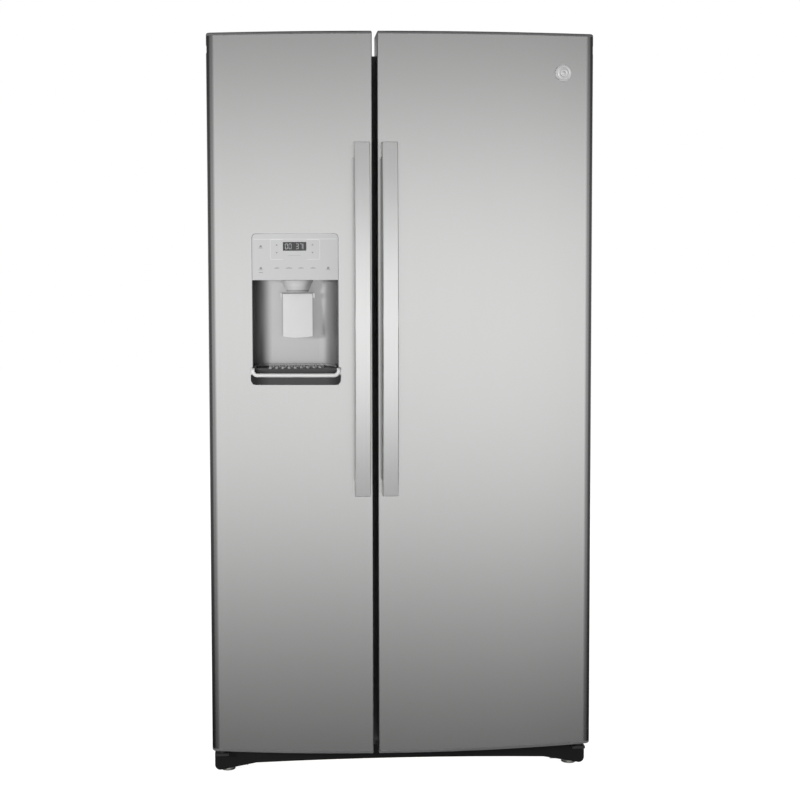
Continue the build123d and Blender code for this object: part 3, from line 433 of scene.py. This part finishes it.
def print_patch(x, z, proud=PRINT_PROUD, thick=PRINT_THICK, steps=6):
    """A thin plate on the bowed panel. Across it x runs from end to end in equal steps, and at each step
    a four-cornered ring goes round its section, whose front lies on the bow grown by proud."""
    across = np.linspace(x[0], x[1], steps)
    front, back = bow_y(across, proud), bow_y(across, proud - thick)
    ring_y = np.stack([front, front, back, back], axis=1)
    ring_z = np.broadcast_to(np.array([z[0], z[1], z[1], z[0]]), ring_y.shape)
    ring_x = np.broadcast_to(across[:, None], ring_y.shape)
    return np.stack([ring_x, ring_y, ring_z], axis=-1).reshape(-1, 3), capped(steps, 4)


def leaning_patch(corners):
    """A thin printed plate on the bowed panel between corners given as x and z."""
    flat = np.array(corners)
    front = np.column_stack([flat[:, 0], bow_y(flat[:, 0], PRINT_PROUD), flat[:, 1]])
    back = front + np.array([0.0, PRINT_THICK, 0.0])
    return np.concatenate([back, front]), capped(2, len(flat))


def rounded_outline(x, z, radius, steps=6):
    """Corner arcs of a rectangle joined into one closed outline, as x and z."""
    angle = np.linspace(0, pi / 2, steps)
    corners = []
    for turn, (cx, cz) in enumerate(((x[1] - radius, z[1] - radius), (x[0] + radius, z[1] - radius),
                                     (x[0] + radius, z[0] + radius), (x[1] - radius, z[0] + radius))):
        a = angle + turn * pi / 2
        corners.append(np.column_stack([cx + radius * np.cos(a), cz + radius * np.sin(a)]))
    return np.concatenate(corners)


def outline_rim(x, z, radius, width, proud, thick):
    """A narrow raised rim along a rounded rectangle on the bowed panel: at each point of the outline a
    four-cornered section goes from the outer to the inner edge and from the panel to the rim's face."""
    outer = rounded_outline(x, z, radius)
    inner = rounded_outline((x[0] + width, x[1] - width), (z[0] + width, z[1] - width), radius - width)
    rings = []
    for edge, height in ((outer, proud - thick), (outer, proud), (inner, proud), (inner, proud - thick)):
        rings.append(np.column_stack([edge[:, 0], bow_y(edge[:, 0], height), edge[:, 1]]))
    points = np.stack(rings, axis=1).reshape(-1, 3)
    return points, grid_faces(len(outer), 4, wrap_rows=True)


def lathe(centre, axis, profile, around=24):
    """A profile of (distance out, distance along) pairs turned about an axis through the centre,
    with its first and last points on the axis."""
    along = Vector(axis).normalized()
    side = along.orthogonal().normalized()
    up = along.cross(side)
    profile = np.array(profile)
    angle = np.linspace(0, 2 * pi, around, endpoint=False)
    out = profile[1:-1, 0][:, None, None] * (np.cos(angle)[None, :, None] * np.array(side)
                                             + np.sin(angle)[None, :, None] * np.array(up))
    ring = np.array(centre) + out + profile[1:-1, 1][:, None, None] * np.array(along)
    poles = np.array(centre) + profile[[0, -1], 1][:, None] * np.array(along)
    count = len(profile) - 2
    faces = grid_faces(count, around)
    start = count * around
    turn = np.arange(around)
    following = (turn + 1) % around
    first = np.stack([np.full(around, start), following, turn], axis=1)
    last = (count - 1) * around
    second = np.stack([np.full(around, start + 1), last + turn, last + following], axis=1)
    return np.concatenate([ring.reshape(-1, 3), poles]), faces + first.tolist() + second.tolist()


# ------------------------------------------------------------------ control panel

DISPLAY_X = (-0.2785, -0.2245)
DISPLAY_Z = (1.2630, 1.2830)
DIGIT_LOW = 1.2668
DIGIT_WIDTH = 0.0062
DIGIT_HEIGHT = 0.0125
SEGMENTS = {
    "top": ((0.12, 0.88), (0.93, 1.0)), "middle": ((0.12, 0.88), (0.465, 0.535)),
    "bottom": ((0.12, 0.88), (0.0, 0.07)), "upper_left": ((0.0, 0.14), (0.54, 0.94)),
    "upper_right": ((0.86, 1.0), (0.54, 0.94)), "lower_left": ((0.0, 0.14), (0.06, 0.46)),
    "lower_right": ((0.86, 1.0), (0.06, 0.46)),
}
DIGITS = {
    "0": ("top", "bottom", "upper_left", "upper_right", "lower_left", "lower_right"),
    "3": ("top", "middle", "bottom", "upper_right", "lower_right"),
    "7": ("top", "upper_right", "lower_right"),
}


def digit(figure, left, low, width=DIGIT_WIDTH, height=DIGIT_HEIGHT):
    """The lit bars of one seven-segment figure. Each bar spans shares of the figure's width and height."""
    bars = []
    for segment in DIGITS[figure]:
        across, up = SEGMENTS[segment]
        bars.append(print_patch((left + across[0] * width, left + across[1] * width),
                                (low + up[0] * height, low + up[1] * height), DIGIT_PROUD,
                                DIGIT_THICK, 2))
    return bars


put("display_window", *print_patch(DISPLAY_X, DISPLAY_Z, DISPLAY_PROUD, 0.0016), WINDOW_LOOK,
    "freezer_door", False, "silver_plastic")
lit_bars = []
for figure, left in (("0", -0.2735), ("0", -0.2650), ("3", -0.2485), ("7", -0.2395)):
    lit_bars += digit(figure, left, DIGIT_LOW)
lit_bars.append(print_patch((-0.2320, -0.2312), (DIGIT_LOW, DIGIT_LOW + DIGIT_HEIGHT), DIGIT_PROUD,
                            DIGIT_THICK, 2))
put("display_digits", *joined(lit_bars), DIGIT_LOOK, "freezer_door", False, "silver_plastic")

# Four small arrow keys beside the display, and a row of plain symbols under it.
arrows = []
for x in (-0.2930, -0.2100):
    for z, way in ((1.2765, 1), (1.2585, -1)):
        arrows.append(leaning_patch([(x - 0.0026, z - 0.0016 * way), (x, z + 0.0022 * way),
                                     (x + 0.0026, z - 0.0016 * way)][::way]))
bars = [print_patch((-0.2660, -0.2370), (1.2517, 1.2521))]
for middle, half in ((-0.293, 0.0055), (-0.265, 0.0075), (-0.237, 0.0060), (-0.209, 0.0060)):
    bars.append(print_patch((middle - half, middle + half), (1.2219, 1.2233)))
    bars.append(print_patch((middle - 0.4 * half, middle + 0.4 * half), (1.2240, 1.2247)))
for middle, height in ((-0.330, 1.2730), (-0.330, 1.2225), (-0.174, 1.2225)):
    bars.append(print_patch((middle - 0.0050, middle + 0.0050), (height - 0.0042, height - 0.0033)))
    bars.append(leaning_patch([(middle - 0.0035, height - 0.0022), (middle - 0.0018, height + 0.0030),
                               (middle + 0.0018, height + 0.0030), (middle + 0.0035, height - 0.0022)]))
bars.append(print_patch((-0.3345, -0.3255), (1.2120, 1.2134)))
put("panel_symbols", *joined(arrows + bars), PRINT_LOOK, "freezer_door", False, "silver_plastic")

# Pale raised lines along the panel's bevels: a painted highlight on the bevel edges.
rims = [outline_rim((-0.308, -0.193), (1.2425, 1.2890), 0.004, 0.0006, BEVEL_PROUD, BEVEL_THICK),
        print_patch((-0.3465, -0.1545), (1.2895, 1.2903), BEVEL_PROUD, BEVEL_THICK, 24)]
put("panel_bevel_highlight_lines", *joined(rims), BEVEL_HIGHLIGHT_LOOK, "freezer_door", False, "silver_plastic")

# ------------------------------------------------------------------ dispenser hollow


def swept(path, out, section):
    """A closed section carried along a path: each path point moves by the section's first number along
    its own outward direction and by the second along the given third direction."""
    outward, third = out
    points = (path[:, None, :] + section[None, :, 0, None] * outward[:, None, :]
              + section[None, :, 1, None] * third[:, None, :])
    return points.reshape(-1, 3), capped(len(path), len(section))


def rounded_section(half_out, half_up, power=4.0, steps=16):
    """A closed section between an ellipse and a rectangle, from the superellipse of a power."""
    angle = np.linspace(0, 2 * pi, steps, endpoint=False)
    c, s = np.cos(angle), np.sin(angle)
    return np.column_stack([half_out * np.sign(c) * np.abs(c) ** (2 / power),
                            half_up * np.sign(s) * np.abs(s) ** (2 / power)])


def sill_trim():
    """Bright lip under the hollow. Its middle line runs down a corner arc at the left, along the bowed
    front, and up a corner arc at the right, and a rounded section is carried along it."""
    left, right, low, radius = -0.3505, -0.1505, 0.9735, 0.011
    angle = np.linspace(pi, 1.5 * pi, 9)
    start = np.column_stack([left + radius + radius * np.cos(angle), low + radius + radius * np.sin(angle)])
    finish_arc = np.column_stack([right - radius - radius * np.cos(angle[::-1]),
                                  low + radius + radius * np.sin(angle[::-1])])
    run = np.column_stack([np.linspace(left + radius, right - radius, 26)[1:-1], np.full(24, low)])
    ends = (np.array([[left, low + radius + 0.006]]), np.array([[right, low + radius + 0.006]]))
    flat = np.concatenate([ends[0], start, run, finish_arc, ends[1]])
    path = np.column_stack([flat[:, 0], bow_y(flat[:, 0], 0.0095), flat[:, 1]])
    along = np.gradient(path, axis=0)
    along /= np.linalg.norm(along, axis=1, keepdims=True)
    forward = np.tile(np.array([0.0, -1.0, 0.0]), (len(path), 1))
    outward = np.cross(forward, along)
    return swept(path, (outward, forward), rounded_section(0.0045, 0.0050))


put("sill_trim", *sill_trim(), CHROME_LOOK, "freezer_door", True, "dispenser_plastic")


def hollow_line(inset, height):
    """Plan of the hollow's wall moved inwards: the left side, a rear corner arc, the back, the other
    arc and the right side, at one height."""
    left, right, back, radius = -0.349 + inset, -0.152 - inset, -0.304 - inset, 0.045 - inset
    front = -0.3680
    angle = np.linspace(pi, pi / 2, 14)
    first = np.column_stack([left + radius + radius * np.cos(angle),
                             back - radius + radius * np.sin(angle)])
    second = np.column_stack([right - radius - radius * np.cos(angle[::-1]),
                              back - radius + radius * np.sin(angle[::-1])])
    ends = (np.array([[left, front]]), np.array([[right, front]]))
    flat = np.concatenate([ends[0], first, second, ends[1]])
    return np.column_stack([flat, np.full(len(flat), height)])


def hollow_rail(inset, height, half_in, half_up):
    """A rounded rail along the hollow's wall line."""
    path = hollow_line(inset, height)
    along = np.gradient(path, axis=0)
    along /= np.linalg.norm(along, axis=1, keepdims=True)
    upward = np.tile(np.array([0.0, 0.0, 1.0]), (len(path), 1))
    outward = np.cross(along, upward)
    return swept(path, (outward, upward), rounded_section(half_in, half_up))


put("grille_rail", *hollow_rail(0.0045, 0.9925, 0.0028, 0.0033), LOOKS["dispenser_plastic"],
    "freezer_door", True, "dispenser_plastic")


def studs():
    """Low domes between the slots of the drip grille, in staggered rows."""
    dome = [(0.0, -0.0008), (0.0040, -0.0008), (0.0040, 0.0006), (0.0034, 0.0026), (0.0020, 0.0040),
            (0.0, 0.0045)]
    left, right, pitch, grille_top = -0.309, -0.183, 0.0145, 0.989
    rows = []
    for row, y in enumerate((-0.364, -0.350, -0.336, -0.322)):
        for x in np.arange(left + pitch / 2 * (row % 2), right, pitch):
            rows.append(lathe((x, y, grille_top), (0, 0, 1), dome, 10))
    return rows


put("grille_studs", *joined(studs()), LOOKS["dispenser_plastic"], "freezer_door", True, "dispenser_plastic")


def funnel():
    """Sleeve round the chute's cone: a section of a thin wall, closed on itself and turned about the
    chute's upright axis."""
    section = np.array([(0.0364, 1.1946), (0.0372, 1.1940), (0.0250, 1.1680), (0.0240, 1.1662),
                        (0.0226, 1.1662), (0.0222, 1.1680), (0.0222, 1.1700), (0.0243, 1.1700)])
    around = 48
    angle = np.linspace(0, 2 * pi, around, endpoint=False)
    x = DISPENSER_MID + np.cos(angle)[:, None] * section[None, :, 0]
    y = CHUTE_Y + np.sin(angle)[:, None] * section[None, :, 0]
    z = np.broadcast_to(section[None, :, 1], x.shape)
    return np.stack([x, y, z], axis=-1).reshape(-1, 3), grid_faces(around, len(section), wrap_rows=True)


put("chute_funnel", *funnel(), LOOKS["silver_plastic"], "freezer_door", True, "paddle_plastic")

# ------------------------------------------------------------------ badge

BADGE = (0.379, 1.675)
BADGE_PROUD = 0.0025
BADGE_TURN = 0.1465
badge_front = float(bow_y(BADGE[0], BADGE_PROUD))
badge_axis = Vector((sin(BADGE_TURN), -cos(BADGE_TURN), 0.0))
rim = [(0.0, -0.001), (0.0176, -0.001), (0.0184, 0.0004), (0.0180, 0.0011), (0.0170, 0.0013),
       (0.0158, 0.0011), (0.0152, 0.0003), (0.0146, 0.0001), (0.0120, 0.0005), (0.0112, 0.0012),
       (0.0100, 0.0014), (0.0088, 0.0011), (0.0080, 0.0003), (0.0050, 0.0003), (0.0040, 0.0010),
       (0.0020, 0.0014), (0.0, 0.0015)]
put("badge_relief", *lathe((BADGE[0], badge_front, BADGE[1]), badge_axis, rim, 64), LOOKS["badge_metal"],
    "fresh_food_door", True, "badge_metal")

# ------------------------------------------------------------------ door seals


def seal(x, z, body, node):
    """Magnetic seal with a bellows. The section's folds go round, and at each of its points a rectangle
    with rounded corners follows the door, moved in by the section's first number and back by its second."""
    door_back, case_front = -0.2865, -0.27485
    depth = case_front - door_back
    section = np.array([(0.0, 0.0), (0.004, 0.16), (0.0015, 0.34), (0.0045, 0.52), (0.0, 0.66), (0.0, 0.97),
                        (0.0015, 1.0), (0.0165, 1.0), (0.018, 0.95), (0.018, 0.68), (0.0135, 0.52),
                        (0.0165, 0.34), (0.014, 0.16), (0.018, 0.0)])
    loops = []
    for inset, share in section:
        loop = rounded_outline((x[0] + inset, x[1] - inset), (z[0] + inset, z[1] - inset), 0.024 - inset, 8)
        fold_y = np.full(len(loop), door_back + depth * share)
        loops.append(np.column_stack([loop[:, 0], fold_y, loop[:, 1]]))
    points = np.stack(loops, axis=1).reshape(-1, 3)
    piece = put(node + "_bellows", points, grid_faces(len(loops[0]), len(section), wrap_rows=True),
                LOOKS["gasket"], body, False, "gasket")
    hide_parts(node)


seal((-0.430, -0.074), (0.100, 1.710), "freezer_door", "freezer_door_gasket")
seal((-0.056, 0.430), (0.100, 1.710), "fresh_food_door", "fresh_door_gasket")

# ------------------------------------------------------------------ rear screws

CASE_SCREW_X = 0.440
COVER_SCREW_Z = 0.254
screw = [(0.0, -0.002), (0.0055, -0.002), (0.0055, 0.0006), (0.0040, 0.0008), (0.0038, 0.0030),
         (0.0032, 0.0036), (0.0014, 0.0036), (0.0008, 0.0022), (0.0, 0.0022)]
case_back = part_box("back_panel")[1].y
cover_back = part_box("rear_cover")[1].y
back_screws = []
for x in (-CASE_SCREW_X, CASE_SCREW_X):
    for z in np.linspace(0.300, 1.700, 6):
        back_screws.append(lathe((x, case_back, z), (0, 1, 0), screw, 12))
for x in np.linspace(-0.400, 0.400, 5):
    back_screws.append(lathe((x, cover_back, COVER_SCREW_Z), (0, 1, 0), screw, 12))
put("rear_screws", *joined(back_screws), LOOKS["zinc"], "cabinet", True, "zinc")

# ------------------------------------------------------------------ stage, light and camera


def stage_quad(name, corners, look):
    """A flat four-cornered piece of the stage."""
    mesh = bpy.data.meshes.new(name)
    mesh.from_pydata(corners, [], [(0, 1, 2, 3)])
    mesh.materials.append(look)
    quad = bpy.data.objects.new(name, mesh)
    bpy.context.scene.collection.objects.link(quad)
    return quad


def floor_look():
    """Pale floor with a faint cloudy tone and a glow of its own."""
    made = bpy.data.materials.new("pale_floor")
    made.use_nodes = True
    tree = made.node_tree
    shader = tree.nodes["Principled BSDF"]
    place = tree.nodes.new("ShaderNodeTexCoord").outputs["Object"]
    tone = remap(tree, noise(tree, place, 2.0), 0.3, 0.7, 0.29, 0.31)
    blend = tree.nodes.new("ShaderNodeCombineColor")
    for channel in range(3):
        tree.links.new(tone, blend.inputs[channel])
    tree.links.new(blend.outputs[0], shader.inputs["Base Color"])
    shader.inputs["Roughness"].default_value = 0.9
    shader.inputs["Emission Color"].default_value = (1.0, 1.0, 1.0, 1.0)
    shader.inputs["Emission Strength"].default_value = 0.95
    return made


FLOOR = 12.0
floor_corners = [(-FLOOR, -FLOOR, 0), (FLOOR, -FLOOR, 0), (FLOOR, FLOOR, 0), (-FLOOR, FLOOR, 0)]
floor = stage_quad("floor", floor_corners, floor_look())
floor.visible_glossy = False

# The room's brightness by the height of a ray, from straight down to straight up, as (sine, brightness).
ROOM_BANDS = ((-1.0, 0.05), (-0.36, 0.01), (-0.30, 0.05), (-0.25, 0.28), (-0.20, 0.66),
              (-0.14, 0.83), (-0.06, 0.90), (0.0, 0.97), (0.04, 0.97), (0.08, 0.76),
              (0.12, 0.34), (0.16, 0.12), (0.24, 0.10), (0.5, 0.30), (1.0, 0.5))
ROOM_LEVEL = 1.4
# The room dims sideways: it is at its lowest where a ray's part along Y is under the first of these
# numbers, and full past the second.
ROOM_SIDE_FACING = (0.55, 0.86)
ROOM_SIDE_LEVEL = 0.22


def make_room():
    """World light: white where the camera looks past the object, and elsewhere a soft studio whose
    brightness follows the height of a ray and falls off towards the object's two sides."""
    world = bpy.data.worlds.new("studio")
    bpy.context.scene.world = world
    world.use_nodes = True
    tree = world.node_tree
    tree.nodes.clear()
    ray = tree.nodes.new("ShaderNodeTexCoord").outputs["Generated"]
    split = tree.nodes.new("ShaderNodeSeparateXYZ")
    tree.links.new(ray, split.inputs[0])
    height = remap(tree, split.outputs["Z"], -1.0, 1.0, 0.0, 1.0)
    bands = tree.nodes.new("ShaderNodeValToRGB")
    ramp = bands.color_ramp
    ramp.interpolation = "LINEAR"
    for index, (sine, level) in enumerate(ROOM_BANDS):
        if index >= len(ramp.elements):
            ramp.elements.new(1.0)
        ramp.elements[index].position = (sine + 1) / 2
        ramp.elements[index].color = (level, level, level, 1.0)
    tree.links.new(height, bands.inputs["Fac"])
    facing = math_node(tree, "ABSOLUTE", split.outputs["Y"])
    side = remap(tree, facing, *ROOM_SIDE_FACING, ROOM_SIDE_LEVEL, 1.0)
    level = math_node(tree, "MULTIPLY", side, bands.outputs["Color"])
    studio = tree.nodes.new("ShaderNodeBackground")
    tree.links.new(level, studio.inputs["Color"])
    studio.inputs["Strength"].default_value = ROOM_LEVEL
    backdrop = tree.nodes.new("ShaderNodeBackground")
    backdrop.inputs["Color"].default_value = (1.0, 1.0, 1.0, 1.0)
    mix = tree.nodes.new("ShaderNodeMixShader")
    tree.links.new(tree.nodes.new("ShaderNodeLightPath").outputs["Is Camera Ray"], mix.inputs["Fac"])
    tree.links.new(studio.outputs[0], mix.inputs[1])
    tree.links.new(backdrop.outputs[0], mix.inputs[2])
    tree.links.new(mix.outputs[0], tree.nodes.new("ShaderNodeOutputWorld").inputs["Surface"])


def softbox(name, place, target, size, power):
    """A rectangular lamp aimed at a point and left out of mirror reflections."""
    lamp = bpy.data.lights.new(name, "AREA")
    lamp.shape = "RECTANGLE"
    lamp.size, lamp.size_y = size
    lamp.energy = power
    holder = bpy.data.objects.new(name, lamp)
    holder.location = place
    holder.rotation_euler = (Vector(target) - Vector(place)).to_track_quat("-Z", "Y").to_euler()
    holder.visible_glossy = False
    bpy.context.scene.collection.objects.link(holder)


make_room()
FRONT_MIDDLE = (0.0, -0.3, 0.9)
softbox("key_left", (-2.4, -3.2, 1.4), FRONT_MIDDLE, (0.4, 0.4), 80.0)
softbox("fill_right", (2.6, -3.2, 1.8), FRONT_MIDDLE, (2.0, 2.0), 10.0)
softbox("rear_top", (0.8, 3.4, 2.8), (0.0, 0.4, 0.9), (2.4, 2.4), 70.0)
softbox("left_side", (-3.6, 0.8, 2.0), (-0.4, 0.0, 0.9), (2.0, 2.0), 30.0)
softbox("right_side", (3.6, 0.8, 2.0), (0.4, 0.0, 0.9), (2.0, 2.0), 30.0)

EYE = Vector((-0.2872, -3.6151, 1.2484))
YAW, PITCH, ROLL = radians(2.808), radians(3.251), radians(-0.222)
forward = Vector((sin(YAW) * cos(PITCH), cos(YAW) * cos(PITCH), -sin(PITCH)))
level_right = Vector((cos(YAW), -sin(YAW), 0.0))
level_up = level_right.cross(forward)
right = level_right * cos(ROLL) + level_up * sin(ROLL)
up = right.cross(forward)
lens = bpy.data.cameras.new("camera")
lens.lens = 62.75
lens.sensor_width = 36.0
lens.shift_x = 0.065
lens.shift_y = -0.08
camera = bpy.data.objects.new("camera", lens)
turn = Matrix((right, up, -forward)).transposed()
camera.matrix_world = Matrix.Translation(EYE) @ turn.to_4x4()
bpy.context.scene.collection.objects.link(camera)
bpy.context.scene.camera = camera
bpy.context.scene.view_settings.view_transform = "Standard"
